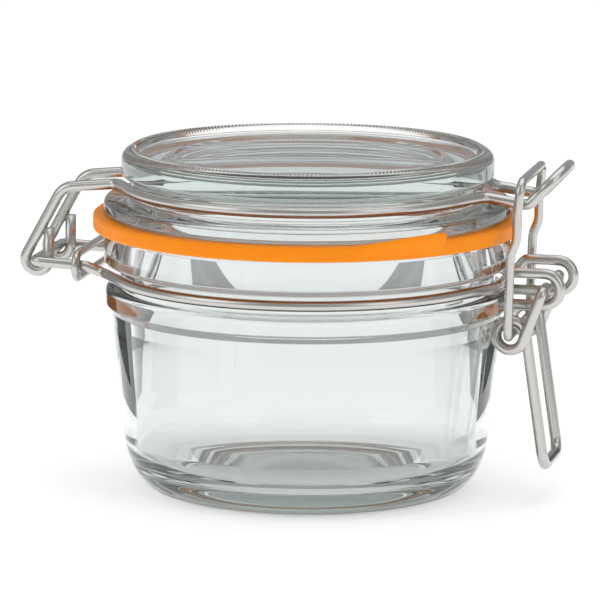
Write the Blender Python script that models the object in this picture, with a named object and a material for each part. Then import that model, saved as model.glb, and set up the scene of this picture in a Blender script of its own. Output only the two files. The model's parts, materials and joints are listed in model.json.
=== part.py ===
"""Small glass canister with a hinged glass lid, a rubber gasket and a wire bail closure.

Sizes are in millimetres; MM turns them into Blender's metres. Heights are above the
surface the canister stands on. X runs from the hinge side to the latch side, Y is the
depth, and both are counted from the canister's own axis until a piece is placed.
"""
import math

import bmesh
import bpy
from mathutils import Matrix, Vector

for leftover in list(bpy.data.objects):
    bpy.data.objects.remove(leftover, do_unlink=True)

MM = 0.001
GAP = 0.3               # free space between neighbouring pieces
SEGMENTS = 48           # sides of the turned glass and rubber
ARC_STEP = 18.0         # degrees between the points of a wire's bend
RING_STEP = 9.0         # degrees between the points of a wire around the glass

# jar
RIM_RADIUS = 46.1
JAR_HEIGHT = 59.6
RIM_BAND = 7.8
GROOVE_DEPTH = 3.5
GROOVE_HEIGHT = 5.2
BAND_INSET = 0.4        # shoulder band, from the rim's radius
BAND_HEIGHT = 5.6
BAND_SLOPE = 1.6        # height of the slope from the band down to the body
BODY_INSET = 1.8        # body under the shoulder band, from the rim's radius
BODY_TAPER = 2.4        # how much narrower the body is above the heel
HEEL_HEIGHT = 17.0
HEEL_INSET = 9.0        # foot ring's outer edge, from the body's narrow end
FOOT_WIDTH = 4.0
PUNT_DEPTH = 1.6
WALL = 3.2
FLOOR_THICKNESS = 6.0
FLOOR_ROUND = 6.0
MOUTH_INSET = 6.5       # from the rim's radius
EDGE_ROUND = 1.0

# gasket
GASKET_OVERHANG = 2.4
GASKET_THICKNESS = 2.8
GASKET_WIDTH = 9.6
GASKET_ROUND = 0.6
TAB_START = -64.0       # degrees around the axis
TAB_END = -42.0
TAB_REACH = 3.2
TAB_ROOT = 0.6          # how far inside the gasket's edge the tab starts
TAB_THINNER = 0.15      # on each face, from the gasket

# lid
LID_HEIGHT = 14.9       # from the flange's underside to the crest
FLANGE_THICKNESS = 3.6
NECK_HEIGHT = 4.9       # groove for the lid wire
CREST_INSET = 3.9       # from the rim's radius
CREST_ROUND = 2.4       # the crest's outer shoulder
CREST_WIDTH = 1.0       # flat top of the crest
RECESS_INSET = 5.2      # panel's edge, from the crest's radius
RECESS_DEPTH = 1.8
DISH_INSET = 7.2        # shallow dish in the panel, from the panel's edge
DISH_DEPTH = 0.5
PANEL_THICKNESS = 5.0
PLUG_DEPTH = 3.0
PLUG_CLEARANCE = 2.0
PLUG_WIDTH = 5.0

# wire diameters
LID_WIRE = 2.5
LID_RING_INSET = 0.8    # wire around the lid, from the crest's radius
LID_RING_RISE = 2.8     # that wire above the flange
NECK_WIRE = 2.4
LEVER_WIRE = 2.5
LINK_WIRE = 2.1
TIE_WIRE = 1.9

# hinge side
HINGE_OUT = 14.5        # hinge bar, from the rim's radius
HINGE_RISE = 2.2        # hinge bar above the neck ring
HOOK_HALF_WIDTH = 9.7
HOOK_END = 7.2          # free end above the hinge bar
HINGE_BEND = 1.5        # corners of the hinge bar
ARM_OUT = 8.5           # top corner of the lid wire's arms, from the rim's radius
TIE_OUT = 4.2
TIE_SHARE = 0.7         # where between the neck ring's and the hinge bar's heights the tie link sits

# latch side
EAR_HALF_WIDTH = 9.3
EAR_HEIGHT = 7.1
PIVOT_OUT = 9.9         # lever's pivot, from the rim's radius
EYE_INBOARD = 7.3       # lever's eye, from its pivot
EYE_DOWN = 10.4
EYE_RADIUS = 3.2
HANDLE_HEIGHT = 9.0     # handle's lower bar, above the base
HANDLE_OUT = 0.4        # handle's lower bar, from the pivot
TONGUE_HALF_WIDTH = 8.4
DIP_OUT = 5.9           # lowest point of the lid wire's tongue, from the rim's radius
DIP_DROP = 1.5          # that point, below the wire around the lid
TIP_OUT = 13.2          # tongue's tip, from the rim's radius
TIP_RISE = 7.7          # tip above the lowest point
DIP_BEND = 2.4
TIP_BEND = 6.2
CROSSBAR_INBOARD = 0.7  # link's crossbar, from the tongue's lowest point
CROSSBAR_RISE = 6.0
LINK_BOW = 1.8          # how far the link's legs bow outwards
PIN_BEND = 1.9          # where the lever and the link turn inwards to their pins
GRIP_BEND = 3.2         # corners of the handle's lower bar
SIDE_BEND = 3.0         # where a wire leaves the glass

# heights and radii that follow from the sizes above
RIM_LOW = JAR_HEIGHT - RIM_BAND
BAND_TOP = RIM_LOW - GROOVE_HEIGHT
BAND_LOW = BAND_TOP - BAND_HEIGHT
BAND_RADIUS = RIM_RADIUS - BAND_INSET
BODY_RADIUS = RIM_RADIUS - BODY_INSET
GROOVE_RADIUS = RIM_RADIUS - GROOVE_DEPTH
MOUTH_RADIUS = RIM_RADIUS - MOUTH_INSET
NECK_RING_RADIUS = GROOVE_RADIUS + GAP + NECK_WIRE / 2
NECK_RING_HEIGHT = RIM_LOW - GROOVE_HEIGHT / 2
GASKET_RADIUS = RIM_RADIUS + GASKET_OVERHANG
GASKET_LOW = JAR_HEIGHT + GAP
LID_LOW = GASKET_LOW + GASKET_THICKNESS + GAP
CREST_RADIUS = RIM_RADIUS - CREST_INSET
FLANGE_TOP = LID_LOW + FLANGE_THICKNESS
CREST_LOW = FLANGE_TOP + NECK_HEIGHT
CREST_TOP = LID_LOW + LID_HEIGHT
LID_RING_RADIUS = CREST_RADIUS - LID_RING_INSET
LID_RING_HEIGHT = FLANGE_TOP + LID_RING_RISE
LID_GROOVE_RADIUS = LID_RING_RADIUS - LID_WIRE / 2 - GAP
HINGE_X = -(RIM_RADIUS + HINGE_OUT)
HINGE_HEIGHT = NECK_RING_HEIGHT + HINGE_RISE
HOOK_RADIUS = (LID_WIRE + NECK_WIRE) / 2 + GAP
HINGE_LEG_Y = HOOK_HALF_WIDTH + LID_WIRE / 2 + GAP + HINGE_BEND
PIVOT_X = RIM_RADIUS + PIVOT_OUT
PIVOT_HEIGHT = NECK_RING_HEIGHT
LEVER_ARM_Y = EAR_HALF_WIDTH + (NECK_WIRE + LEVER_WIRE) / 2 + GAP
LINK_LEG_Y = LEVER_ARM_Y + (LEVER_WIRE + LINK_WIRE) / 2 + GAP
EYE_X = PIVOT_X - EYE_INBOARD
EYE_HEIGHT = PIVOT_HEIGHT - EYE_DOWN
DIP_X = RIM_RADIUS + DIP_OUT
DIP_HEIGHT = LID_RING_HEIGHT - DIP_DROP
TIP_X = RIM_RADIUS + TIP_OUT
TIP_HEIGHT = DIP_HEIGHT + TIP_RISE
CROSSBAR_X = DIP_X - CROSSBAR_INBOARD
CROSSBAR_HEIGHT = DIP_HEIGHT + CROSSBAR_RISE

# the canister's axis is set so that its box is centred on X = 0
HINGE_SIDE_REACH = -HINGE_X + HOOK_RADIUS + LID_WIRE / 2
LATCH_SIDE_REACH = max(
    TIP_X + LID_WIRE / 2,
    PIVOT_X + (EAR_HEIGHT + NECK_WIRE) / 2,
    PIVOT_X + HANDLE_OUT + LEVER_WIRE / 2,
)
AXIS_X = (HINGE_SIDE_REACH - LATCH_SIDE_REACH) / 2


def material(name, colour, roughness, metallic=0.0, transmission=0.0):
    made = bpy.data.materials.new(name)
    made.use_nodes = True
    shader = made.node_tree.nodes["Principled BSDF"]
    shader.inputs["Base Color"].default_value = (*colour, 1.0)
    shader.inputs["Roughness"].default_value = roughness
    shader.inputs["Metallic"].default_value = metallic
    shader.inputs["Transmission Weight"].default_value = transmission
    return made


GLASS = material("soda lime glass", (0.86, 0.91, 0.89), 0.03, transmission=1.0)
RUBBER = material("natural rubber", (0.95, 0.26, 0.02), 0.45)
STEEL = material("stainless steel wire", (0.56, 0.55, 0.53), 0.25, metallic=1.0)


def arc(centre_a, centre_b, radius, start, end, step=ARC_STEP):
    """Points (a, b) along a circle in one plane, from start to end in degrees."""
    count = max(1, round(abs(end - start) / step))
    angles = [math.radians(start + (end - start) * i / count) for i in range(count + 1)]
    return [
        (centre_a + radius * math.cos(angle), centre_b + radius * math.sin(angle))
        for angle in angles
    ]


def place(piece, origin, finish):
    """Move the piece's origin to a point counted from the canister's axis."""
    shift = Vector(origin) * MM
    piece.data.transform(Matrix.Translation(-shift))
    piece.location = shift + Vector((AXIS_X * MM, 0, 0))
    piece.data.materials.append(finish)


def turned(name, outline, origin, finish):
    """A solid turned about the axis from an outline of (radius, height) points.

    An outline that starts and ends on the axis is left open, any other is closed.
    """
    shape = bmesh.new()
    corners = [shape.verts.new((radius * MM, 0, height * MM)) for radius, height in outline]
    on_axis = outline[0][0] == 0 and outline[-1][0] == 0
    pairs = list(zip(corners, corners[1:]))
    if not on_axis:
        pairs.append((corners[-1], corners[0]))
    edges = [shape.edges.new(pair) for pair in pairs]
    bmesh.ops.spin(
        shape, geom=corners + edges, axis=(0, 0, 1), cent=(0, 0, 0),
        steps=SEGMENTS, angle=math.tau, use_merge=True,
    )
    bmesh.ops.remove_doubles(shape, verts=shape.verts, dist=0.0005 * MM)
    bmesh.ops.recalc_face_normals(shape, faces=shape.faces)
    mesh = bpy.data.meshes.new(name)
    shape.to_mesh(mesh)
    shape.free()
    mesh.shade_smooth()
    mesh.set_sharp_from_angle(angle=math.radians(40))
    piece = bpy.data.objects.new(name, mesh)
    bpy.context.collection.objects.link(piece)
    place(piece, origin, finish)
    return piece


def bent(corners):
    """A wire's route through (point, bend radius) corners, each bend an arc."""
    points = [Vector(point) for point, _ in corners]
    route = [points[0]]
    for before, at, after, (_, radius) in zip(points, points[1:], points[2:], corners[1:]):
        back = (before - at).normalized()
        ahead = (after - at).normalized()
        turn = math.pi - back.angle(ahead)
        if radius == 0 or turn < math.radians(2):
            route.append(at)
            continue
        reach = radius * math.tan(turn / 2)
        centre = at + (back + ahead).normalized() * radius / math.cos(turn / 2)
        first = at + back * reach - centre
        last = at + ahead * reach - centre
        count = max(2, round(math.degrees(turn) / ARC_STEP))
        for i in range(count + 1):
            share = i / count
            route.append(centre + (
                first * math.sin((1 - share) * turn) + last * math.sin(share * turn)
            ) / math.sin(turn))
    route.append(points[-1])
    return route


def ring(radius, height, start, end):
    """Points of a wire around the glass, from start to end in degrees."""
    return [Vector((x, y, height)) for x, y in arc(0, 0, radius, start, end, RING_STEP)]


def mirrored(half):
    """The whole route of a wire whose back half mirrors its front half."""
    return half + [Vector((x, -y, z)) for x, y, z in reversed(half)]


def tangent_angle(towards, radius, side):
    """The angle at which a line from an outside point touches a circle in the XZ plane."""
    reach = math.hypot(towards.x, towards.z)
    direction = math.degrees(math.atan2(towards.z, towards.x))
    return direction + side * math.degrees(math.acos(radius / reach))


def wire(name, route, diameter, origin, closed=False):
    """A round wire along a route, as a bevelled curve with filled ends."""
    curve = bpy.data.curves.new(name, "CURVE")
    curve.dimensions = "3D"
    curve.bevel_depth = diameter / 2 * MM
    curve.bevel_resolution = 2
    curve.use_fill_caps = not closed
    spline = curve.splines.new("POLY")
    spline.points.add(len(route) - 1)
    for point, place_at in zip(spline.points, route):
        point.co = (*((place_at - Vector(origin)) * MM), 1)
    spline.use_cyclic_u = closed
    spline.use_smooth = True
    piece = bpy.data.objects.new(name, curve)
    bpy.context.collection.objects.link(piece)
    piece.location = Vector(origin) * MM + Vector((AXIS_X * MM, 0, 0))
    curve.materials.append(STEEL)
    return piece


def make_jar():
    foot_outer = BODY_RADIUS - BODY_TAPER - HEEL_INSET
    foot_inner = foot_outer - FOOT_WIDTH
    heel = [
        (foot_outer + HEEL_INSET * math.sin(angle), HEEL_HEIGHT * (1 - math.cos(angle)))
        for angle in (math.radians(step) for step in range(15, 91, 15))
    ]
    inner_radius = BODY_RADIUS - BODY_TAPER - WALL
    floor_corner = arc(
        inner_radius - FLOOR_ROUND, FLOOR_THICKNESS + FLOOR_ROUND, FLOOR_ROUND, 0, -90, 30
    )
    top_edge = arc(BAND_RADIUS - EDGE_ROUND, BAND_TOP - EDGE_ROUND, EDGE_ROUND, 0, 90, 45)
    rim_edge = arc(RIM_RADIUS - EDGE_ROUND, RIM_LOW + EDGE_ROUND, EDGE_ROUND, -90, 0, 45)
    lip_outer = arc(RIM_RADIUS - EDGE_ROUND, JAR_HEIGHT - EDGE_ROUND, EDGE_ROUND, 0, 90, 45)
    lip_inner = arc(MOUTH_RADIUS + EDGE_ROUND, JAR_HEIGHT - EDGE_ROUND, EDGE_ROUND, 90, 180, 45)
    outline = [
        (0, PUNT_DEPTH),
        (foot_inner - PUNT_DEPTH, PUNT_DEPTH),
        (foot_inner, 0),
        (foot_outer, 0),
        *heel,
        (BODY_RADIUS, BAND_LOW),
        (BAND_RADIUS, BAND_LOW + BAND_SLOPE),
        *top_edge,
        (GROOVE_RADIUS + EDGE_ROUND, BAND_TOP),
        (GROOVE_RADIUS, BAND_TOP + EDGE_ROUND),
        (GROOVE_RADIUS, RIM_LOW - EDGE_ROUND),
        (GROOVE_RADIUS + EDGE_ROUND, RIM_LOW),
        *rim_edge,
        *lip_outer,
        *lip_inner,
        (MOUTH_RADIUS, RIM_LOW),
        (inner_radius, BAND_LOW - WALL),
        *floor_corner,
        (0, FLOOR_THICKNESS),
    ]
    turned("glass_jar", outline, (0, 0, 0), GLASS)


def make_gasket():
    inner = GASKET_RADIUS - GASKET_WIDTH
    top = GASKET_LOW + GASKET_THICKNESS
    side = GASKET_RADIUS - GASKET_ROUND
    outline = [
        (inner, GASKET_LOW),
        *arc(side, GASKET_LOW + GASKET_ROUND, GASKET_ROUND, -90, 0, 45),
        *arc(side, top - GASKET_ROUND, GASKET_ROUND, 0, 90, 45),
        (inner, top),
    ]
    gasket = turned("rubber_gasket", outline, (0, 0, GASKET_LOW), RUBBER)

    # the pull tab widens from nothing to its blunt end
    count = 5
    angles = [math.radians(TAB_START + (TAB_END - TAB_START) * i / count) for i in range(count + 1)]
    rooted = GASKET_RADIUS - GASKET_WIDTH / 2
    start = GASKET_RADIUS - TAB_ROOT
    outer = [start + (TAB_REACH + TAB_ROOT) * (i / count) ** 0.8 for i in range(count + 1)]
    shape = bmesh.new()
    border = [(rooted, angle) for angle in reversed(angles)] + list(zip(outer, angles))
    corners = [
        shape.verts.new((r * math.cos(angle) * MM, r * math.sin(angle) * MM, TAB_THINNER * MM))
        for r, angle in border
    ]
    base = shape.faces.new(corners)
    raised = bmesh.ops.extrude_face_region(shape, geom=[base])["geom"]
    bmesh.ops.translate(
        shape, vec=(0, 0, (GASKET_THICKNESS - 2 * TAB_THINNER) * MM),
        verts=[item for item in raised if isinstance(item, bmesh.types.BMVert)],
    )
    bmesh.ops.recalc_face_normals(shape, faces=shape.faces)
    mesh = bpy.data.meshes.new("gasket tab")
    shape.to_mesh(mesh)
    shape.free()
    tab = bpy.data.objects.new("gasket tab", mesh)
    bpy.context.collection.objects.link(tab)
    tab.location = gasket.location
    tab.hide_render = True
    tab.display_type = "WIRE"
    join = gasket.modifiers.new("pull tab", "BOOLEAN")
    join.operation = "UNION"
    join.solver = "EXACT"
    join.object = tab


def make_lid():
    plug_outer = MOUTH_RADIUS - PLUG_CLEARANCE
    plug_inner = plug_outer - PLUG_WIDTH
    plug_low = LID_LOW - PLUG_DEPTH
    panel_top = CREST_TOP - RECESS_DEPTH
    panel_low = panel_top - PANEL_THICKNESS
    recess = CREST_RADIUS - RECESS_INSET
    dish = recess - DISH_INSET
    crest_side = CREST_RADIUS - EDGE_ROUND
    crest_flat = CREST_RADIUS - CREST_ROUND
    outline = [
        (0, panel_low),
        (plug_inner - EDGE_ROUND, panel_low),
        (plug_inner, panel_low - EDGE_ROUND),
        (plug_inner + EDGE_ROUND / 2, plug_low),
        (plug_outer - EDGE_ROUND / 2, plug_low),
        (plug_outer, plug_low + EDGE_ROUND / 2),
        (plug_outer, LID_LOW),
        *arc(RIM_RADIUS - EDGE_ROUND, LID_LOW + EDGE_ROUND, EDGE_ROUND, -90, 0, 45),
        *arc(RIM_RADIUS - EDGE_ROUND, FLANGE_TOP - EDGE_ROUND, EDGE_ROUND, 0, 90, 45),
        (LID_GROOVE_RADIUS, FLANGE_TOP + EDGE_ROUND / 2),
        (LID_GROOVE_RADIUS, CREST_LOW - EDGE_ROUND / 2),
        (crest_side, CREST_LOW),
        (CREST_RADIUS, CREST_LOW + EDGE_ROUND),
        *arc(crest_flat, CREST_TOP - CREST_ROUND, CREST_ROUND, 0, 90, 30),
        (crest_flat - CREST_WIDTH, CREST_TOP),
        (recess + EDGE_ROUND / 2, panel_top + EDGE_ROUND / 4),
        (recess, panel_top),
        (dish + DISH_DEPTH, panel_top),
        (dish, panel_top - DISH_DEPTH),
        (0, panel_top - DISH_DEPTH),
    ]
    turned("glass_lid", outline, (HINGE_X, 0, HINGE_HEIGHT), GLASS)


def make_neck_wire():
    ear = EAR_HEIGHT / 2
    ear_end = math.sqrt(BAND_RADIUS ** 2 - EAR_HALF_WIDTH ** 2) + 3 * GAP
    shoulder = RIM_RADIUS + NECK_WIRE
    loop = [
        Vector((a, -EAR_HALF_WIDTH, b))
        for a, b in arc(PIVOT_X, PIVOT_HEIGHT, ear, -90, 90)
    ]
    tie_height = NECK_RING_HEIGHT + HINGE_RISE * TIE_SHARE
    around = ring(NECK_RING_RADIUS, NECK_RING_HEIGHT, -26, -152)
    to_ring = bent([
        (loop[-1], 0),
        ((shoulder, -EAR_HALF_WIDTH, PIVOT_HEIGHT + ear), PIN_BEND),
        ((BAND_RADIUS, -EAR_HALF_WIDTH - GAP, NECK_RING_HEIGHT), PIN_BEND),
        (around[0], 0),
    ])
    leg = bent([
        (around[-1], 0),
        ((-NECK_RING_RADIUS, -HINGE_LEG_Y, NECK_RING_HEIGHT), SIDE_BEND),
        ((-RIM_RADIUS - NECK_WIRE, -HINGE_LEG_Y, tie_height), SIDE_BEND),
        ((HINGE_X, -HINGE_LEG_Y, HINGE_HEIGHT), HINGE_BEND),
        ((HINGE_X, 0, HINGE_HEIGHT), 0),
    ])
    half = [Vector((ear_end, -EAR_HALF_WIDTH, PIVOT_HEIGHT - ear))]
    half += loop + to_ring[1:] + around[1:] + leg[1:-1]
    wire("neck_wire", mirrored(half), NECK_WIRE, (0, 0, NECK_RING_HEIGHT))


def make_tie_link():
    tie_x = -(RIM_RADIUS + TIE_OUT)
    height = NECK_RING_HEIGHT + HINGE_RISE * TIE_SHARE
    rise = (NECK_WIRE + TIE_WIRE) / 2 + 2 * GAP
    side = HINGE_LEG_Y + (NECK_WIRE + TIE_WIRE) / 2 + GAP - rise
    route = [Vector((tie_x, y, z)) for y, z in arc(side, height, rise, -90, 90)]
    route += [Vector((tie_x, y, z)) for y, z in arc(-side, height, rise, 90, 270)]
    wire("neck_tie_link", route, TIE_WIRE, (tie_x, 0, height), closed=True)


def make_lid_wire():
    # the hook passes under the hinge bar and leaves its circle towards the arm's top corner
    arm_top = Vector((-(RIM_RADIUS + ARM_OUT), -HOOK_HALF_WIDTH, LID_RING_HEIGHT - LID_WIRE / 2))
    hinge = Vector((HINGE_X, 0, HINGE_HEIGHT))
    leaves_at = tangent_angle(arm_top - hinge, HOOK_RADIUS, 1) - 360
    hook = [
        Vector((a, -HOOK_HALF_WIDTH, b))
        for a, b in arc(HINGE_X, HINGE_HEIGHT, HOOK_RADIUS, 0, leaves_at)
    ]
    around = ring(LID_RING_RADIUS, LID_RING_HEIGHT, -156, -24)
    arm = bent([
        (hook[-1], 0),
        (arm_top, 1.5 * SIDE_BEND),
        ((-LID_RING_RADIUS - GAP, -HOOK_HALF_WIDTH, LID_RING_HEIGHT), SIDE_BEND),
        (around[0], 0),
    ])
    tongue = bent([
        (around[-1], 0),
        ((LID_RING_RADIUS + GAP, -TONGUE_HALF_WIDTH, LID_RING_HEIGHT), SIDE_BEND),
        ((DIP_X, -TONGUE_HALF_WIDTH, DIP_HEIGHT), DIP_BEND),
        ((TIP_X, -TONGUE_HALF_WIDTH, TIP_HEIGHT), TIP_BEND),
        ((TIP_X, 0, TIP_HEIGHT), 0),
    ])
    half = [Vector((HINGE_X + HOOK_RADIUS, -HOOK_HALF_WIDTH, HINGE_HEIGHT + HOOK_END))]
    half += hook + arm[1:] + around[1:] + tongue[1:-1]
    wire("lid_wire", mirrored(half), LID_WIRE, (HINGE_X, 0, HINGE_HEIGHT))


def make_lever():
    pin_end = EAR_HALF_WIDTH - NECK_WIRE
    handle_x = PIVOT_X + HANDLE_OUT
    # the arm comes down onto the eye's circle, and the handle's leg leaves it downwards
    eye = Vector((EYE_X, 0, EYE_HEIGHT))
    pivot = Vector((PIVOT_X, 0, PIVOT_HEIGHT))
    handle = Vector((handle_x, 0, HANDLE_HEIGHT))
    arm_angle = tangent_angle(pivot - eye, EYE_RADIUS, -1)
    leg_angle = tangent_angle(handle - eye, EYE_RADIUS, 1)
    turned_by = (arm_angle - leg_angle) % 360
    count = round(turned_by / ARC_STEP)
    loop = []
    for i in range(count + 1):
        angle = math.radians(arm_angle - turned_by * i / count)
        y = -LEVER_ARM_Y + (LEVER_ARM_Y - EAR_HALF_WIDTH) * i / count
        loop.append(Vector((
            EYE_X + EYE_RADIUS * math.cos(angle), y, EYE_HEIGHT + EYE_RADIUS * math.sin(angle)
        )))
    arm = bent([
        ((PIVOT_X, -pin_end, PIVOT_HEIGHT), 0),
        ((PIVOT_X, -LEVER_ARM_Y, PIVOT_HEIGHT), PIN_BEND),
        (loop[0], 0),
    ])
    grip = bent([
        (loop[-1], 0),
        ((handle_x, -EAR_HALF_WIDTH, HANDLE_HEIGHT), GRIP_BEND),
        ((handle_x, 0, HANDLE_HEIGHT), 0),
    ])
    half = arm[:-1] + loop + grip[1:-1]
    wire("lever_handle", mirrored(half), LEVER_WIRE, (PIVOT_X, 0, PIVOT_HEIGHT))


def make_latch_link():
    pin_end = EAR_HALF_WIDTH - NECK_WIRE
    height = CROSSBAR_HEIGHT - EYE_HEIGHT
    half = bent([
        ((EYE_X, -pin_end, EYE_HEIGHT), 0),
        ((EYE_X, -LINK_LEG_Y, EYE_HEIGHT), PIN_BEND),
        ((EYE_X + LINK_BOW / 4, -LINK_LEG_Y, EYE_HEIGHT + height * 0.54), 2 * SIDE_BEND),
        ((EYE_X + LINK_BOW, -LINK_LEG_Y, EYE_HEIGHT + height * 0.63), 2 * SIDE_BEND),
        ((EYE_X + LINK_BOW, -LINK_LEG_Y, EYE_HEIGHT + height * 0.78), 2 * SIDE_BEND),
        ((CROSSBAR_X, -LINK_LEG_Y, CROSSBAR_HEIGHT), SIDE_BEND),
        ((CROSSBAR_X, 0, CROSSBAR_HEIGHT), 0),
    ])
    wire("latch_link", mirrored(half[:-1]), LINK_WIRE, (EYE_X, 0, EYE_HEIGHT))


make_jar()
make_gasket()
make_lid()
make_neck_wire()
make_tie_link()
make_lid_wire()
make_lever()
make_latch_link()
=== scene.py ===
import json
import math

import bmesh
import bpy
from mathutils import Matrix, Vector


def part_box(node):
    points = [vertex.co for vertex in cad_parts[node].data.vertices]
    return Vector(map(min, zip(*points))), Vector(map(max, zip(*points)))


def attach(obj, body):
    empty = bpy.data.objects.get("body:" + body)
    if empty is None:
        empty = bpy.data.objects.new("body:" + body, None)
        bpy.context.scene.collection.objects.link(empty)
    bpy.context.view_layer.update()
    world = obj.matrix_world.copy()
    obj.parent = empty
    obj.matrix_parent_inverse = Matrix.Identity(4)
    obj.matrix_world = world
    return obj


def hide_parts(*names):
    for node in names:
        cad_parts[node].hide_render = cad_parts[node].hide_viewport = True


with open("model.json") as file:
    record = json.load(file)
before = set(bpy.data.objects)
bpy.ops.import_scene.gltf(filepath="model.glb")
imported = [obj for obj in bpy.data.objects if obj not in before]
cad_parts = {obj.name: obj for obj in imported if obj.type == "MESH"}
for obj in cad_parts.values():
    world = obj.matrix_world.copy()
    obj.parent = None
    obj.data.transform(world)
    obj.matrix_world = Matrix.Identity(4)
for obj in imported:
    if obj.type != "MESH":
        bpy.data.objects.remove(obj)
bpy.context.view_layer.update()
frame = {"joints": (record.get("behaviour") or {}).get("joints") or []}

mm = 0.001

# places that every piece is worked out from, all read from the frame
jarLow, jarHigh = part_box("glass_jar")
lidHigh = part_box("glass_lid")[1]
axisX = (jarLow.x + jarHigh.x) / 2 / mm
rimRadius = (jarHigh.y - jarLow.y) / 2 / mm
jarHeight = jarHigh.z / mm
joints = {joint["name"]: Vector(joint["pos_m"]) / mm for joint in frame["joints"]}
hinge = joints["lid_hinge"]
pivot = joints["lever_pivot"]
eye = joints["link_pivot"]
print("frame loaded: rim radius %.1f mm, jar height %.1f mm" % (rimRadius, jarHeight))


def srgb(hexColour):
    parts = [int(hexColour[i:i + 2], 16) / 255 for i in (1, 3, 5)]
    return tuple(c / 12.92 if c <= 0.04045 else ((c + 0.055) / 1.055) ** 2.4 for c in parts) + (1.0,)


def addNode(tree, kind, settings=None, links=None):
    # settings go to the node's properties or its inputs, links are input: (node, output)
    node = tree.nodes.new(kind)
    for name, value in (settings or {}).items():
        if isinstance(name, str) and hasattr(node, name):
            setattr(node, name, value)
        else:
            node.inputs[name].default_value = value
    for name, (source, output) in (links or {}).items():
        tree.links.new(source.outputs[output], node.inputs[name])
    return node


def newMaterial(name):
    made = bpy.data.materials.new(name)
    made.use_nodes = True
    made.node_tree.nodes.clear()
    return made, made.node_tree


glassLook = {
    "tint": "#F0F2F1",
    "ior": 1.52,             # soda-lime glass
    "roughness": 0.0,
    "depthColour": "#AEC6B9",  # iron in the melt, seen through thick edges
    "depthDensity": 8.0,       # per metre
    "waveSize": 14.0,        # mm between the swells that the mould leaves
    "waveHeight": 0.012,     # mm
}


def pressedGlass():
    # soda-lime glass pressed in an iron mould: clear, bright, faintly wavy, green only where it is thick
    made, tree = newMaterial("pressed soda-lime glass")
    place = addNode(tree, "ShaderNodeTexCoord")
    waves = addNode(tree, "ShaderNodeTexNoise", {
        "Scale": 1 / (glassLook["waveSize"] * mm), "Detail": 1.0, "Roughness": 0.4,
    }, {"Vector": (place, "Object")})
    bump = addNode(tree, "ShaderNodeBump", {
        "Strength": 1.0, "Distance": glassLook["waveHeight"] * mm,
    }, {"Height": (waves, "Fac")})
    shader = addNode(tree, "ShaderNodeBsdfPrincipled", {
        "Base Color": srgb(glassLook["tint"]), "Roughness": glassLook["roughness"],
        "IOR": glassLook["ior"], "Transmission Weight": 1.0,
    }, {"Normal": (bump, "Normal")})
    depth = addNode(tree, "ShaderNodeVolumeAbsorption", {
        "Color": srgb(glassLook["depthColour"]), "Density": glassLook["depthDensity"],
    })
    addNode(tree, "ShaderNodeOutputMaterial", {}, {
        "Surface": (shader, "BSDF"), "Volume": (depth, "Volume"),
    })
    return made


rubberLook = {
    "colour": "#FF9400",
    "deepColour": "#F88800",
    "paintedGlow": 0.07,            # painted glow: an emission in the rubber's colour that stands for the light coming through the rubber
    "ior": 1.52,
    "roughness": 0.42,
    "roughnessSpread": 0.06,
    "shine": 0.2,
    "scatter": 0.1,
    "scatterDepth": 1.0,     # mm
    "mottleSize": 5.0,       # mm
    "grainSize": 0.5,        # mm, drawn coarser than the real moulding grain so that it shows
    "grainHeight": 0.01,     # mm
}


def mouldedRubber():
    # natural rubber, moulded and die-cut: satin, slightly translucent, even colour with a faint mottle
    made, tree = newMaterial("moulded natural rubber")
    place = addNode(tree, "ShaderNodeTexCoord")
    mottle = addNode(tree, "ShaderNodeTexNoise", {
        "Scale": 1 / (rubberLook["mottleSize"] * mm), "Detail": 2.0,
    }, {"Vector": (place, "Object")})
    colour = addNode(tree, "ShaderNodeMix", {"data_type": "RGBA"}, {0: (mottle, "Fac")})
    colour.inputs[6].default_value = srgb(rubberLook["colour"])
    colour.inputs[7].default_value = srgb(rubberLook["deepColour"])
    grain = addNode(tree, "ShaderNodeTexNoise", {
        "Scale": 1 / (rubberLook["grainSize"] * mm), "Detail": 3.0,
    }, {"Vector": (place, "Object")})
    rough = addNode(tree, "ShaderNodeMapRange", {
        "To Min": rubberLook["roughness"] - rubberLook["roughnessSpread"],
        "To Max": rubberLook["roughness"] + rubberLook["roughnessSpread"],
    }, {"Value": (grain, "Fac")})
    bump = addNode(tree, "ShaderNodeBump", {
        "Strength": 1.0, "Distance": rubberLook["grainHeight"] * mm,
    }, {"Height": (grain, "Fac")})
    shader = addNode(tree, "ShaderNodeBsdfPrincipled", {
        "IOR": rubberLook["ior"], "Specular IOR Level": rubberLook["shine"],
        "Subsurface Weight": rubberLook["scatter"],
        # painted glow: the rubber emits its own orange as light, standing in for light that comes through
        # it
        "Emission Color": srgb(rubberLook["colour"]), "Emission Strength": rubberLook["paintedGlow"],
        "Subsurface Scale": rubberLook["scatterDepth"] * mm,
        "Subsurface Radius": (1.0, 0.45, 0.12),
    }, {"Base Color": (colour, 2), "Roughness": (rough, "Result"), "Normal": (bump, "Normal")})
    addNode(tree, "ShaderNodeOutputMaterial", {}, {"Surface": (shader, "BSDF")})
    return made


steelLook = {
    "colour": "#C9C7C2",
    "roughness": 0.24,
    "smoother": 0.07,
    "rougher": 0.09,
    "drawLines": 46.0,       # noise cells per mm of v
    "lineLength": 26.0,      # noise cells per mm of u
    "lineHeight": 0.006,     # mm
}


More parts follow.
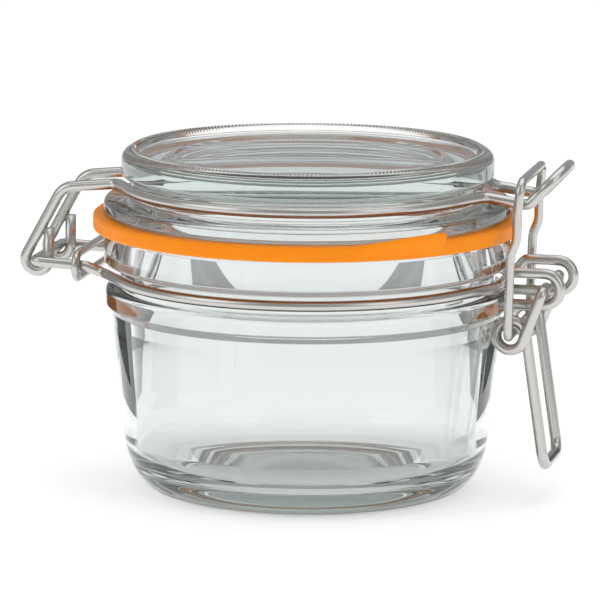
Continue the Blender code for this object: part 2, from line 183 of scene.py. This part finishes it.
def drawnSteel():
    # stainless steel wire pulled through a die and tumbled: bright satin with a very fine grain
    made, tree = newMaterial("drawn stainless steel wire")
    place = addNode(tree, "ShaderNodeUVMap", {"uv_map": "along"})
    stretch = addNode(tree, "ShaderNodeMapping", {
        "Scale": (steelLook["lineLength"], steelLook["drawLines"], 1.0),
    }, {"Vector": (place, "UV")})
    lines = addNode(tree, "ShaderNodeTexNoise", {"Scale": 1.0, "Detail": 2.0}, {
        "Vector": (stretch, "Vector"),
    })
    rough = addNode(tree, "ShaderNodeMapRange", {
        "To Min": steelLook["roughness"] - steelLook["smoother"],
        "To Max": steelLook["roughness"] + steelLook["rougher"],
    }, {"Value": (lines, "Fac")})
    bump = addNode(tree, "ShaderNodeBump", {
        "Strength": 1.0, "Distance": steelLook["lineHeight"] * mm,
    }, {"Height": (lines, "Fac")})
    shader = addNode(tree, "ShaderNodeBsdfPrincipled", {
        "Base Color": srgb(steelLook["colour"]), "Metallic": 1.0,
    }, {"Roughness": (rough, "Result"), "Normal": (bump, "Normal")})
    addNode(tree, "ShaderNodeOutputMaterial", {}, {"Surface": (shader, "BSDF")})
    return made


glass = pressedGlass()
rubber = mouldedRubber()
steel = drawnSteel()
print("materials ready")


def arcPoints(centreA, centreB, radius, start, end, step):
    count = max(2, round(abs(end - start) / step))
    angles = [math.radians(start + (end - start) * i / count) for i in range(count + 1)]
    return [(centreA + radius * math.cos(a), centreB + radius * math.sin(a)) for a in angles]


def finishPiece(name, shape, material, node, body):
    # the mesh is already in place, so its object stays at the origin
    mesh = bpy.data.meshes.new(name)
    shape.to_mesh(mesh)
    shape.free()
    mesh.shade_smooth()
    mesh.materials.append(material)
    piece = bpy.data.objects.new(name, mesh)
    bpy.context.scene.collection.objects.link(piece)
    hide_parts(node)
    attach(piece, body)
    return piece


def roundCorners(corners, step=12):
    # each corner is (radius from the axis, height, rounding); a rounding of 0 keeps it sharp
    outline = []
    for i, (across, up, rounding) in enumerate(corners):
        at = Vector((across, up))
        if rounding == 0 or i in (0, len(corners) - 1):
            outline.append(at)
            continue
        back = (Vector(corners[i - 1][:2]) - at)
        ahead = (Vector(corners[i + 1][:2]) - at)
        room = min(back.length, ahead.length) * 0.49
        back.normalize()
        ahead.normalize()
        turn = math.pi - back.angle(ahead)
        if turn < math.radians(2):
            outline.append(at)
            continue
        reach = min(rounding * math.tan(turn / 2), room)
        radius = reach / math.tan(turn / 2)
        centre = at + (back + ahead).normalized() * radius / math.cos(turn / 2)
        first = at + back * reach - centre
        last = at + ahead * reach - centre
        count = max(3, round(math.degrees(turn) / step))
        for k in range(count + 1):
            share = k / count
            outline.append(centre + (
                first * math.sin((1 - share) * turn) + last * math.sin(share * turn)
            ) / math.sin(turn))
    return outline


def spinOutline(outline, steps):
    # turns an outline of (radius, height) in mm about the canister's axis
    shape = bmesh.new()
    points = [shape.verts.new((axisX * mm + p[0] * mm, 0, p[1] * mm)) for p in outline]
    lines = [shape.edges.new(pair) for pair in zip(points, points[1:])]
    bmesh.ops.spin(
        shape, geom=points + lines, axis=(0, 0, 1), cent=(axisX * mm, 0, 0),
        steps=steps, angle=math.tau, use_merge=True,
    )
    bmesh.ops.remove_doubles(shape, verts=shape.verts, dist=0.002 * mm)
    bmesh.ops.recalc_face_normals(shape, faces=shape.faces)
    return shape


jarSizes = {
    "rimBand": 7.8, "grooveDepth": 3.5, "grooveHeight": 5.2,
    "bandInset": 0.4, "bandHeight": 5.6, "bandSlope": 1.6, "bodyInset": 1.8, "bodyTaper": 2.4,
    "heelHeight": 17.0, "heelInset": 9.0, "footWidth": 4.0, "puntDepth": 1.6,
    "wall": 3.2, "floorThickness": 6.0, "floorRound": 6.0, "mouthInset": 6.5,
    "edgeRound": 1.0, "moundHeight": 0.7,  # the inside of the floor rises a little in the middle
    "steps": 180,
}


def makeJar(s):
    rimLow = jarHeight - s["rimBand"]
    bandTop = rimLow - s["grooveHeight"]
    bandLow = bandTop - s["bandHeight"]
    bodyRadius = rimRadius - s["bodyInset"]
    lowRadius = bodyRadius - s["bodyTaper"]
    footOuter = lowRadius - s["heelInset"]
    footInner = footOuter - s["footWidth"]
    innerRadius = lowRadius - s["wall"]
    grooveRadius = rimRadius - s["grooveDepth"]
    bandRadius = rimRadius - s["bandInset"]
    mouthRadius = rimRadius - s["mouthInset"]
    e = s["edgeRound"]
    heel = [
        (footOuter + s["heelInset"] * math.sin(a), s["heelHeight"] * (1 - math.cos(a)), 0)
        for a in (math.radians(step) for step in range(12, 91, 6))
    ]
    outline = roundCorners([
        (0, s["puntDepth"], 0),
        (footInner - 2 * s["puntDepth"], s["puntDepth"], 6),
        (footInner, 0.0, 1.5),
        (footOuter, 0.0, 0.8),
        *heel,
        (bodyRadius, bandLow, 0.7),
        (bandRadius, bandLow + s["bandSlope"], 1.0),
        (bandRadius, bandTop, 1.2 * e),
        (grooveRadius, bandTop, 1.0 * e),
        (grooveRadius, rimLow, 1.0 * e),
        (rimRadius, rimLow, 1.1 * e),
        (rimRadius, jarHeight, 1.0 * e),
        (mouthRadius, jarHeight, 1.2 * e),
        (mouthRadius, rimLow, 3.0),
        (innerRadius, bandLow - s["wall"], 8.0),
        (innerRadius, s["floorThickness"], s["floorRound"]),
        (innerRadius * 0.45, s["floorThickness"] + s["moundHeight"] * 0.6, 30.0),
        (0, s["floorThickness"] + s["moundHeight"], 0),
    ])
    finishPiece("jar_glass", spinOutline(outline, s["steps"]), glass, "glass_jar", "jar")


makeJar(jarSizes)
print("jar made")


gasketSizes = {
    "width": 9.6, "edgeRound": 0.7, "overhang": 2.4, "seat": 3.4, "press": 0.02,
    "tabStart": -66.0, "tabEnd": -42.0, "tabReach": 3.2, "tabLift": 2.7, "tabUnder": 1.3,
    "tabCurve": 0.8,       # below 1, the tab widens sooner along its length
    "endBlunt": 1.2,       # degrees that the blunt end takes
    "steps": 360,
}


def makeGasket(s):
    outer = rimRadius + s["overhang"]
    inner = outer - s["width"]
    # pressed a little into the jar's rim, so the rubber shows through it
    low = jarHeight - s["press"]
    high = jarHeight + s["seat"] - s["press"]
    r = s["edgeRound"]
    middle = (low + high) / 2
    outline = roundCorners([
        (inner, middle, 0), (inner, low, r), ((inner + outer) / 2, low, 0), (outer - 1.2, low, 0),
        (outer, low, r),
        (outer, low + s["tabUnder"] - 0.1, 0), (outer, low + s["tabUnder"] + 0.1, 0),
        (outer, high, r), (outer - 1.2, high, 0), ((inner + outer) / 2, high, 0),
        (inner, high, r), (inner, middle, 0),
    ])
    shape = spinOutline(outline, s["steps"])
    # the pull tab grows out of the ring's edge, lifts clear of the rim and ends blunt
    for vert in shape.verts:
        across = Vector((vert.co.x / mm - axisX, vert.co.y / mm))
        angle = math.degrees(math.atan2(across.y, across.x))
        inTab = s["tabStart"] < angle < s["tabEnd"] + s["endBlunt"]
        if not inTab or vert.co.z / mm < low + s["tabUnder"]:
            continue
        outward = max(0.0, (across.length - rimRadius) / s["overhang"])
        grown = min(1.0, (angle - s["tabStart"]) / (s["tabEnd"] - s["tabStart"]))
        end = min(1.0, max(0.0, (s["tabEnd"] + s["endBlunt"] - angle) / s["endBlunt"]))
        share = grown ** s["tabCurve"] * end * min(1.0, outward)  # widest at the blunt end
        across = across.normalized() * (across.length + s["tabReach"] * share)
        lift = s["tabLift"] * math.sin(grown * math.pi / 2) * end * min(1.0, outward)
        vert.co = Vector(((across.x + axisX) * mm, across.y * mm, vert.co.z + lift * mm))
    bmesh.ops.recalc_face_normals(shape, faces=shape.faces)
    finishPiece("gasket_rubber", shape, rubber, "rubber_gasket", "lid")


makeGasket(gasketSizes)
print("gasket made")


lidSizes = {
    "flange": 3.6, "neck": 4.9, "crestInset": 3.9, "ringInset": 0.8, "wire": 2.5, "gap": 0.3,
    "crestRound": 2.4, "recessInset": 5.2, "recessDepth": 1.8, "dishInset": 7.2, "dishDepth": 0.5,
    "panel": 5.0, "plugDepth": 3.0, "plugClearance": 2.0,
    "plugWidth": 5.0, "mouthInset": 6.5, "edgeRound": 1.0,
    "ridges": 272, "ridgeHeight": 0.34, "ribWidth": 1.2,   # fine ribs pressed along the crest
    "stepsPerRidge": 4,
}
lidLowMm = jarHeight + gasketSizes["seat"]
crestTop = lidHigh.z / mm
crestRadius = rimRadius - lidSizes["crestInset"]


def makeLid(s):
    flangeTop = lidLowMm + s["flange"]
    crestLow = flangeTop + s["neck"]
    grooveRadius = crestRadius - s["ringInset"] - s["wire"] / 2 - s["gap"]
    plugOuter = rimRadius - s["mouthInset"] - s["plugClearance"]
    plugInner = plugOuter - s["plugWidth"]
    plugLow = lidLowMm - s["plugDepth"]
    ribTop = crestTop - s["ridgeHeight"]
    panelTop = crestTop - s["recessDepth"]
    panelLow = panelTop - s["panel"]
    recess = crestRadius - s["recessInset"]
    e = s["edgeRound"]
    dish = recess - s["dishInset"]
    shoulder = crestRadius - s["crestRound"]
    ribOuter = shoulder
    ribInner = shoulder - s["ribWidth"]
    crestCurve = [
        (across, up, 0)
        for across, up in arcPoints(shoulder, ribTop - s["crestRound"], s["crestRound"], 0, 80, 10)
    ]
    outline = roundCorners([
        (0, panelLow, 0),
        (plugInner, panelLow, 1.2),
        (plugInner + 0.4, plugLow, 1.0),
        (plugOuter - 0.2, plugLow, 1.0),
        (plugOuter, lidLowMm, 0.6),
        (rimRadius, lidLowMm, 1.1 * e),
        (rimRadius, flangeTop, 1.2 * e),
        (grooveRadius, flangeTop, 0.8 * e),
        (grooveRadius, crestLow, 0.8 * e),
        (crestRadius, crestLow, 1.1 * e),
        *crestCurve,
        (ribOuter, ribTop, 0),
        (ribOuter - 0.25 * s["ribWidth"], ribTop, 0),
        (ribInner + 0.25 * s["ribWidth"], ribTop - 0.1, 0),
        (ribInner, ribTop - 0.25, 0),
        (recess + 0.6, panelTop + 0.3, 0.8),
        (recess - 0.4, panelTop, 0.8),
        (dish + 0.7, panelTop, 0.8),
        (dish - 0.2, panelTop - s["dishDepth"], 0.8),
        (dish - 4.0, panelTop - s["dishDepth"], 0),
        (0, panelTop - s["dishDepth"], 0),
    ])
    steps = s["ridges"] * s["stepsPerRidge"]
    shape = spinOutline(outline, steps)
    for vert in shape.verts:
        across = Vector((vert.co.x / mm - axisX, vert.co.y / mm))
        if vert.co.z / mm < crestTop - 0.5 or not ribInner + 0.1 < across.length < ribOuter + 0.01:
            continue
        phase = math.atan2(across.y, across.x) * s["ridges"]
        vert.co.z += s["ridgeHeight"] * mm * math.cos(phase)
    bmesh.ops.recalc_face_normals(shape, faces=shape.faces)
    finishPiece("lid_glass", shape, glass, "glass_lid", "lid")


makeLid(lidSizes)
print("lid made")


wireLook = {
    "gap": 0.3,              # mm of air between a wire and its neighbour
    "pinBend": 1.9, "sideBend": 3.0,
    "sides": 8,              # bevel resolution of the round section
    "endRound": 0.35,        # the cut ends are tumbled smooth
}
neckWireSizes = {
    "wire": 2.4, "earHalfWidth": 9.3, "earHeight": 7.1, "hingeBend": 1.5,
}
tieLinkSizes = {
    "wire": 1.9, "out": 4.2,
    "share": 0.7,            # how far up the hinge legs the loop sits
}
lidWireSizes = {
    "wire": 2.5, "hookHalfWidth": 9.7, "hookEnd": 7.2, "armOut": 8.5, "ringRise": 2.8,
    "tongueHalfWidth": 8.4, "dipOut": 5.9, "dipDrop": 1.5, "dipBend": 2.4,
    "tipOut": 13.2, "tipRise": 7.7, "tipBend": 6.2,
}
leverSizes = {
    "wire": 2.5, "eyeRadius": 3.2, "handleHeight": 9.0, "handleOut": 0.4, "gripBend": 3.2,
}
linkSizes = {
    "wire": 2.1, "crossbarInboard": 0.7, "crossbarRise": 6.0, "bow": 1.8,
    "bowLow": 0.54, "bowFull": 0.63, "bowHigh": 0.78,   # shares of the link's height
}
gap = wireLook["gap"]
pinBend = wireLook["pinBend"]
sideBend = wireLook["sideBend"]
neckWire = neckWireSizes["wire"]
tieWire = tieLinkSizes["wire"]
lidWire = lidWireSizes["wire"]
leverWire = leverSizes["wire"]
linkWire = linkSizes["wire"]
earHalfWidth = neckWireSizes["earHalfWidth"]
hookHalfWidth = lidWireSizes["hookHalfWidth"]
tongueHalfWidth = lidWireSizes["tongueHalfWidth"]
hingeX = hinge.x - axisX
hingeHeight = hinge.z
pivotX = pivot.x - axisX
pivotHeight = pivot.z
eyeX = eye.x - axisX
eyeHeight = eye.z
neckRingHeight = (jarHeight - jarSizes["rimBand"]) - jarSizes["grooveHeight"] / 2
neckRingRadius = rimRadius - jarSizes["grooveDepth"] + gap + neckWire / 2
bandRadius = rimRadius - jarSizes["bandInset"]
lidRingRadius = crestRadius - lidSizes["ringInset"]
lidRingHeight = lidLowMm + lidSizes["flange"] + lidWireSizes["ringRise"]
hookRadius = (lidWire + neckWire) / 2 + gap
hingeLegY = hookHalfWidth + lidWire / 2 + gap + neckWireSizes["hingeBend"]
leverArmY = earHalfWidth + (neckWire + leverWire) / 2 + gap
linkLegY = leverArmY + (leverWire + linkWire) / 2 + gap
tieHeight = neckRingHeight + (hingeHeight - neckRingHeight) * tieLinkSizes["share"]
dipX = rimRadius + lidWireSizes["dipOut"]
dipHeight = lidRingHeight - lidWireSizes["dipDrop"]
tipX = rimRadius + lidWireSizes["tipOut"]
tipHeight = dipHeight + lidWireSizes["tipRise"]
crossbarX = dipX - linkSizes["crossbarInboard"]
crossbarHeight = dipHeight + linkSizes["crossbarRise"]


def bent(corners, step=7):
    # corners are (point, bend radius); each bend becomes an arc of the given step
    points = [Vector(point) for point, _ in corners]
    route = [points[0]]
    for before, at, after, (_, radius) in zip(points, points[1:], points[2:], corners[1:]):
        back = (before - at).normalized()
        ahead = (after - at).normalized()
        turn = math.pi - back.angle(ahead)
        if radius == 0 or turn < math.radians(2):
            route.append(at)
            continue
        reach = radius * math.tan(turn / 2)
        centre = at + (back + ahead).normalized() * radius / math.cos(turn / 2)
        first = at + back * reach - centre
        last = at + ahead * reach - centre
        count = max(3, round(math.degrees(turn) / step))
        for i in range(count + 1):
            share = i / count
            route.append(centre + (
                first * math.sin((1 - share) * turn) + last * math.sin(share * turn)
            ) / math.sin(turn))
    route.append(points[-1])
    return route


def mirrored(half):
    return half + [Vector((x, -y, z)) for x, y, z in reversed(half)]


def tangentAngle(towards, radius, side):
    reach = math.hypot(towards.x, towards.z)
    direction = math.degrees(math.atan2(towards.z, towards.x))
    return direction + side * math.degrees(math.acos(radius / reach))


def makeWire(name, route, diameter, node, body, closed=False):
    curve = bpy.data.curves.new(name, "CURVE")
    curve.dimensions = "3D"
    curve.bevel_depth = diameter / 2 * mm
    curve.bevel_resolution = wireLook["sides"]
    curve.use_fill_caps = not closed
    spline = curve.splines.new("POLY")
    spline.points.add(len(route) - 1)
    for point, at in zip(spline.points, route):
        point.co = ((at.x + axisX) * mm, at.y * mm, at.z * mm, 1)
    spline.use_cyclic_u = closed
    spline.use_smooth = True
    drawn = bpy.data.objects.new(name + " route", curve)
    bpy.context.scene.collection.objects.link(drawn)
    bpy.context.view_layer.update()
    mesh = bpy.data.meshes.new_from_object(drawn.evaluated_get(bpy.context.evaluated_depsgraph_get()))
    bpy.data.objects.remove(drawn)
    shape = bmesh.new()
    shape.from_mesh(mesh)
    bpy.data.meshes.remove(mesh)
    bmesh.ops.remove_doubles(shape, verts=shape.verts, dist=0.001 * mm)
    # the drawn uv is scaled by the wire's length and its girth, in mm
    length = sum((b - a).length for a, b in zip(route, route[1:]))
    layer = shape.loops.layers.uv.verify()
    for face in shape.faces:
        for loop in face.loops:
            u, v = loop[layer].uv
            loop[layer].uv = (u * length, v * math.pi * diameter)
    caps = [face for face in shape.faces if len(face.verts) > 4]
    if caps:
        rims = {edge for face in caps for edge in face.edges}
        bmesh.ops.bevel(
            shape, geom=list(rims), affect="EDGES", offset=wireLook["endRound"] * mm,
            segments=3, profile=0.5, material=-1,
        )
    bmesh.ops.recalc_face_normals(shape, faces=shape.faces)
    piece = finishPiece(name, shape, steel, node, body)
    piece.data.uv_layers[0].name = "along"


def makeNeckWire():
    ear = neckWireSizes["earHeight"] / 2
    earEnd = math.sqrt(bandRadius ** 2 - earHalfWidth ** 2) + 3 * gap
    shoulder = rimRadius + neckWire
    loop = [
        Vector((a, -earHalfWidth, b)) for a, b in arcPoints(pivotX, pivotHeight, ear, -90, 90, 7)
    ]
    around = [Vector((x, y, neckRingHeight)) for x, y in arcPoints(0, 0, neckRingRadius, -26, -152, 3)]
    toRing = bent([
        (loop[-1], 0),
        ((shoulder, -earHalfWidth, pivotHeight + ear), pinBend),
        ((bandRadius, -earHalfWidth - gap, neckRingHeight), pinBend),
        (around[0], 0),
    ])
    leg = bent([
        (around[-1], 0),
        ((-neckRingRadius, -hingeLegY, neckRingHeight), sideBend),
        ((-rimRadius - neckWire, -hingeLegY, tieHeight), sideBend),
        ((hingeX, -hingeLegY, hingeHeight), neckWireSizes["hingeBend"]),
        ((hingeX, 0, hingeHeight), 0),
    ])
    half = [Vector((earEnd, -earHalfWidth, pivotHeight - ear))]
    half += loop + toRing[1:] + around[1:] + leg[1:-1]
    makeWire("neck_wire_steel", mirrored(half), neckWire, "neck_wire", "jar")


def makeTieLink():
    tieX = -(rimRadius + tieLinkSizes["out"])
    rise = (neckWire + tieWire) / 2 + 2 * gap
    side = hingeLegY + (neckWire + tieWire) / 2 + gap - rise
    route = [Vector((tieX, y, z)) for y, z in arcPoints(side, tieHeight, rise, -90, 90, 7)]
    route += [Vector((tieX, y, z)) for y, z in arcPoints(-side, tieHeight, rise, 90, 270, 7)]
    makeWire("tie_link_steel", route, tieWire, "neck_tie_link", "jar", closed=True)


def makeLidWire():
    # the hook passes under the hinge bar and leaves its circle towards the arm's top corner
    armTop = Vector((-(rimRadius + lidWireSizes["armOut"]), -hookHalfWidth, lidRingHeight - lidWire / 2))
    leavesAt = tangentAngle(armTop - Vector((hingeX, 0, hingeHeight)), hookRadius, 1) - 360
    hook = [
        Vector((a, -hookHalfWidth, b))
        for a, b in arcPoints(hingeX, hingeHeight, hookRadius, 0, leavesAt, 7)
    ]
    around = [Vector((x, y, lidRingHeight)) for x, y in arcPoints(0, 0, lidRingRadius, -156, -24, 3)]
    arm = bent([
        (hook[-1], 0),
        (armTop, 1.5 * sideBend),
        ((-lidRingRadius - gap, -hookHalfWidth, lidRingHeight), sideBend),
        (around[0], 0),
    ])
    tongue = bent([
        (around[-1], 0),
        ((lidRingRadius + gap, -tongueHalfWidth, lidRingHeight), sideBend),
        ((dipX, -tongueHalfWidth, dipHeight), lidWireSizes["dipBend"]),
        ((tipX, -tongueHalfWidth, tipHeight), lidWireSizes["tipBend"]),
        ((tipX, 0, tipHeight), 0),
    ])
    half = [Vector((hingeX + hookRadius, -hookHalfWidth, hingeHeight + lidWireSizes["hookEnd"]))]
    half += hook + arm[1:] + around[1:] + tongue[1:-1]
    makeWire("lid_wire_steel", mirrored(half), lidWire, "lid_wire", "lid")


def makeLever():
    pinEnd = earHalfWidth - neckWire
    handleX = pivotX + leverSizes["handleOut"]
    centre = Vector((eyeX, 0, eyeHeight))
    armAngle = tangentAngle(Vector((pivotX, 0, pivotHeight)) - centre, leverSizes["eyeRadius"], -1)
    handleLow = Vector((handleX, 0, leverSizes["handleHeight"]))
    legAngle = tangentAngle(handleLow - centre, leverSizes["eyeRadius"], 1)
    turnedBy = (armAngle - legAngle) % 360
    count = round(turnedBy / 7)
    loop = []
    for i in range(count + 1):
        angle = math.radians(armAngle - turnedBy * i / count)
        y = -leverArmY + (leverArmY - earHalfWidth) * i / count
        loop.append(centre + Vector((
            leverSizes["eyeRadius"] * math.cos(angle), y, leverSizes["eyeRadius"] * math.sin(angle)
        )))
    arm = bent([
        ((pivotX, -pinEnd, pivotHeight), 0),
        ((pivotX, -leverArmY, pivotHeight), pinBend),
        (loop[0], 0),
    ])
    grip = bent([
        (loop[-1], 0),
        ((handleX, -earHalfWidth, leverSizes["handleHeight"]), leverSizes["gripBend"]),
        ((handleX, 0, leverSizes["handleHeight"]), 0),
    ])
    makeWire("lever_steel", mirrored(arm[:-1] + loop + grip[1:-1]), leverWire, "lever_handle", "lever")


def makeLatchLink():
    pinEnd = earHalfWidth - neckWire
    height = crossbarHeight - eyeHeight
    lowX = eyeX + linkSizes["bow"] / 4
    bowX = eyeX + linkSizes["bow"]
    half = bent([
        ((eyeX, -pinEnd, eyeHeight), 0),
        ((eyeX, -linkLegY, eyeHeight), pinBend),
        ((lowX, -linkLegY, eyeHeight + height * linkSizes["bowLow"]), 2 * sideBend),
        ((bowX, -linkLegY, eyeHeight + height * linkSizes["bowFull"]), 2 * sideBend),
        ((bowX, -linkLegY, eyeHeight + height * linkSizes["bowHigh"]), 2 * sideBend),
        ((crossbarX, -linkLegY, crossbarHeight), sideBend),
        ((crossbarX, 0, crossbarHeight), 0),
    ])
    makeWire("latch_link_steel", mirrored(half[:-1]), linkWire, "latch_link", "link")


makeNeckWire()
makeTieLink()
makeLidWire()
makeLever()
makeLatchLink()
print("wires made")


studio = {
    "floorSize": 8.0,        # metres
    "floorColour": "#F6F6F7",
    "floorGlow": 0.50,       # the paper passes light from below, so shadows stay faint
    "worldColour": "#E2E5E8", "worldStrength": 0.52,
    "topPower": 8.0, "topSize": 1.6, "topHeight": 1.5,
    "sidePower": 3.0, "sideSize": 0.9,
    "rightWidth": 0.7, "rightPower": 0.6,    # shares of the left softbox
    "cardOut": 0.097, "cardBack": 0.11, "cardSize": (0.12, 0.045), "cardColour": "#46484A",
    "azimuth": 12.0, "distance": 1.150, "height": 0.2481, "lens": 309.0, "roll": 0.35,
    "aimLeft": 1.6, "aimHeight": 42.8,       # mm
}


def paperFloor():
    # seamless white paper: matt, bright, with a very fine uneven tooth
    made, tree = newMaterial("seamless white paper")
    place = addNode(tree, "ShaderNodeTexCoord")
    tooth = addNode(tree, "ShaderNodeTexNoise", {"Scale": 1 / (0.8 * mm), "Detail": 2.0}, {
        "Vector": (place, "Object"),
    })
    bump = addNode(tree, "ShaderNodeBump", {"Strength": 0.3, "Distance": 0.02 * mm}, {
        "Height": (tooth, "Fac"),
    })
    shader = addNode(tree, "ShaderNodeBsdfPrincipled", {
        "Base Color": srgb(studio["floorColour"]), "Roughness": 0.9, "Specular IOR Level": 0.1,
        "Emission Color": srgb(studio["floorColour"]), "Emission Strength": studio["floorGlow"],
    }, {"Normal": (bump, "Normal")})
    addNode(tree, "ShaderNodeOutputMaterial", {}, {"Surface": (shader, "BSDF")})
    return made


def makeStudio(s):
    sheet = bmesh.new()
    bmesh.ops.create_grid(sheet, x_segments=1, y_segments=1, size=s["floorSize"] / 2)
    mesh = bpy.data.meshes.new("paper floor")
    sheet.to_mesh(mesh)
    sheet.free()
    mesh.materials.append(paperFloor())
    floor = bpy.data.objects.new("paper floor", mesh)
    bpy.context.scene.collection.objects.link(floor)
    floor.location.z = -0.05 * mm

    # two dark cards beside the canister darken the glass edges; they are hidden from the camera,
    # from matt surfaces and from shadows
    cardLook, tree = newMaterial("black card")
    place = addNode(tree, "ShaderNodeTexCoord")
    fibre = addNode(tree, "ShaderNodeTexNoise", {"Scale": 1 / (2 * mm)}, {"Vector": (place, "Object")})
    rough = addNode(tree, "ShaderNodeMapRange", {"To Min": 0.8, "To Max": 0.95}, {"Value": (fibre, "Fac")})
    shader = addNode(tree, "ShaderNodeBsdfPrincipled", {"Base Color": srgb(s["cardColour"])}, {
        "Roughness": (rough, "Result"),
    })
    addNode(tree, "ShaderNodeOutputMaterial", {}, {"Surface": (shader, "BSDF")})
    for side in (-1, 1):
        sheet = bmesh.new()
        bmesh.ops.create_grid(
            sheet, x_segments=1, y_segments=1, size=0.5,
            matrix=Matrix.Rotation(math.radians(90), 4, "Y"),
        )
        bmesh.ops.scale(sheet, vec=(1, s["cardSize"][0], s["cardSize"][1]), verts=sheet.verts)
        mesh = bpy.data.meshes.new("dark card")
        sheet.to_mesh(mesh)
        sheet.free()
        mesh.materials.append(cardLook)
        card = bpy.data.objects.new("dark card", mesh)
        bpy.context.scene.collection.objects.link(card)
        turn = Matrix.Rotation(math.radians(s["azimuth"]), 3, "Z")
        card.location = turn @ Vector((side * s["cardOut"], s["cardBack"], s["cardSize"][1] / 2 + 2 * mm))
        card.rotation_euler.z = math.radians(s["azimuth"])
        card.visible_camera = False
        card.visible_diffuse = False
        card.visible_shadow = False

    world = bpy.data.worlds.new("studio")
    bpy.context.scene.world = world
    world.use_nodes = True
    backdrop = world.node_tree.nodes["Background"]
    backdrop.inputs["Color"].default_value = srgb(s["worldColour"])
    backdrop.inputs["Strength"].default_value = s["worldStrength"]

    def softbox(name, at, towards, size, power):
        lamp = bpy.data.lights.new(name, "AREA")
        lamp.shape = "RECTANGLE"
        lamp.size = size[0]
        lamp.size_y = size[1]
        lamp.energy = power
        box = bpy.data.objects.new(name, lamp)
        bpy.context.scene.collection.objects.link(box)
        box.location = at
        box.rotation_euler = (Vector(towards) - Vector(at)).to_track_quat("-Z", "Y").to_euler()

    middle = (axisX * mm, 0, jarHeight / 2 * mm)
    softbox("top softbox", (0.1, 0.15, s["topHeight"]), middle, (s["topSize"], s["topSize"]), s["topPower"])
    softbox("left softbox", (-0.95, -0.75, 0.75), middle, (s["sideSize"], s["sideSize"]), s["sidePower"])
    rightSize = (s["sideSize"] * s["rightWidth"], s["sideSize"])
    softbox("right softbox", (1.0, -0.6, 0.65), middle, rightSize, s["sidePower"] * s["rightPower"])

    # aimed a little left of the axis and above the middle
    turn = math.radians(s["azimuth"])
    left = s["aimLeft"]
    aim = Vector((axisX - left * math.cos(turn), -left * math.sin(turn), s["aimHeight"])) * mm
    camera = bpy.data.cameras.new("studio camera")
    camera.lens = s["lens"]
    camera.sensor_width = 36.0
    camera.clip_end = 20.0
    stand = bpy.data.objects.new("studio camera", camera)
    bpy.context.scene.collection.objects.link(stand)
    stand.location = (
        axisX * mm + s["distance"] * math.sin(turn), -s["distance"] * math.cos(turn), s["height"],
    )
    look = (aim - stand.location).to_track_quat("-Z", "Y").to_matrix()
    stand.rotation_euler = (look @ Matrix.Rotation(math.radians(s["roll"]), 3, "Z")).to_euler()
    bpy.context.scene.camera = stand

    scene = bpy.context.scene
    scene.view_settings.view_transform = "Standard"
    scene.cycles.max_bounces = 24
    scene.cycles.transmission_bounces = 24
    scene.cycles.glossy_bounces = 8
    scene.cycles.diffuse_bounces = 4


makeStudio(studio)
print("studio made")
